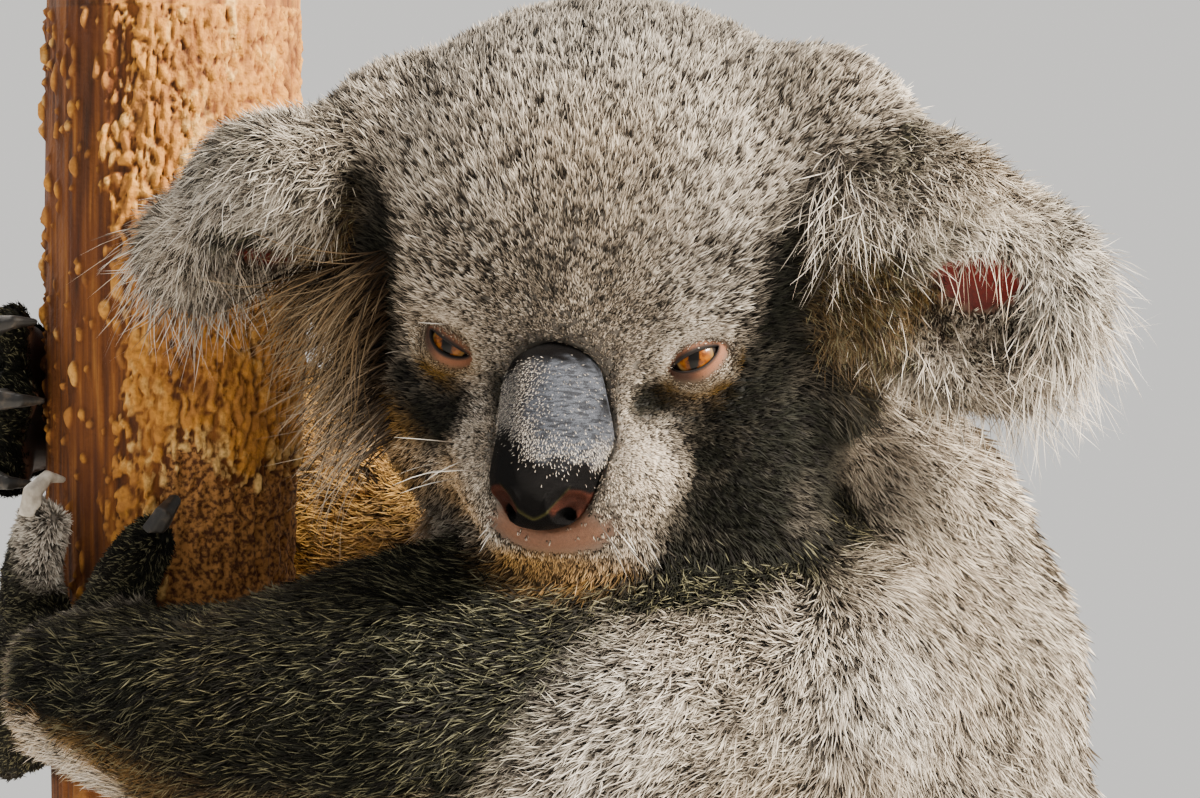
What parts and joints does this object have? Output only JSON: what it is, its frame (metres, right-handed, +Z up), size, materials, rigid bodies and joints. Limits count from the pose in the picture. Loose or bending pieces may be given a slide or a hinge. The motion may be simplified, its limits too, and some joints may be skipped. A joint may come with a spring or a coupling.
{
  "type": "koala",
  "caption": "Life-size still koala clinging to a cut length of tree trunk, head turned over its left shoulder, on a plain display stand.",
  "frame": {"origin": "middle of the underside of the stand's base", "axes": "+Z up along the tree trunk, +X from the tree trunk through the koala's belly to its back, -Y the side that the koala's turned face looks to"},
  "size_m": [0.42, 0.38, 0.672],
  "materials": {
    "fur_grey": "short dense grey coat, pale underneath",
    "nose_leather": "bare finely wrinkled skin",
    "eye": "amber iris under a clear wet cornea",
    "claw_horn": "dark polished horn",
    "bark": "rough lumpy orange-brown bark",
    "stand_board": "black-stained board, satin",
    "stand_steel": "brushed rod"
  },
  "bodies": {
    "root": {"head": "fur_grey", "neck": "fur_grey", "torso": "fur_grey", "ear_left": "fur_grey", "upper_arm_left": "fur_grey", "forearm_left": "fur_grey", "hand_left": "fur_grey", "thigh_left": "fur_grey", "shank_left": "fur_grey", "foot_left": "fur_grey", "ear_right": "fur_grey", "upper_arm_right": "fur_grey", "forearm_right": "fur_grey", "hand_right": "fur_grey", "thigh_right": "fur_grey", "shank_right": "fur_grey", "foot_right": "fur_grey", "nose": "nose_leather", "eye_left": "eye", "eye_right": "eye", "claw_hand_left_first": "claw_horn", "claw_hand_left_second": "claw_horn", "claw_hand_left_third": "claw_horn", "claw_hand_left_fourth": "claw_horn", "claw_hand_left_fifth": "claw_horn", "claw_hand_right_first": "claw_horn", "claw_hand_right_second": "claw_horn", "claw_hand_right_third": "claw_horn", "claw_hand_right_fourth": "claw_horn", "claw_hand_right_fifth": "claw_horn", "claw_foot_left_fused": "claw_horn", "claw_foot_left_fourth": "claw_horn", "claw_foot_left_fifth": "claw_horn", "claw_foot_right_fused": "claw_horn", "claw_foot_right_fourth": "claw_horn", "claw_foot_right_fifth": "claw_horn", "perch": "bark", "stand_base": "stand_board", "stand_rod": "stand_steel"}
  },
  "joints": []
}
